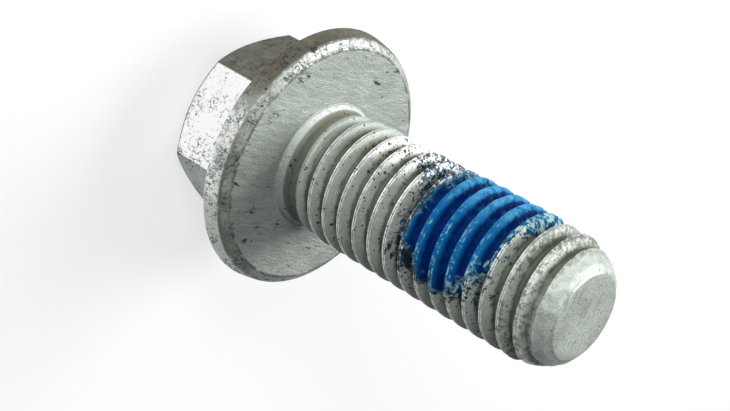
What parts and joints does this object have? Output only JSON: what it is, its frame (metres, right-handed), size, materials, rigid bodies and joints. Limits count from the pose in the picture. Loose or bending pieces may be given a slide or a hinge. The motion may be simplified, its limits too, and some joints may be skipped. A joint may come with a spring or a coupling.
{
  "type": "hex flange bolt",
  "caption": "Short steel hex flange bolt with a fully threaded shank, a wide flat bearing face and a blue locking patch on one side of the thread.",
  "frame": {"origin": "centre of the flange's bearing face", "axes": "+Z along the thread, from the head to the free end; +X through a corner of the hexagon; the bolt stands on the head's top"},
  "size_m": [0.0204, 0.0204, 0.034],
  "materials": {
    "coated_steel": "matte zinc-flake coat, silver grey with small dark specks",
    "nylon": "blue nylon melted on to the thread, slightly glossy"
  },
  "bodies": {
    "root": {"bolt": "coated_steel", "locking_patch": "nylon"}
  },
  "joints": []
}
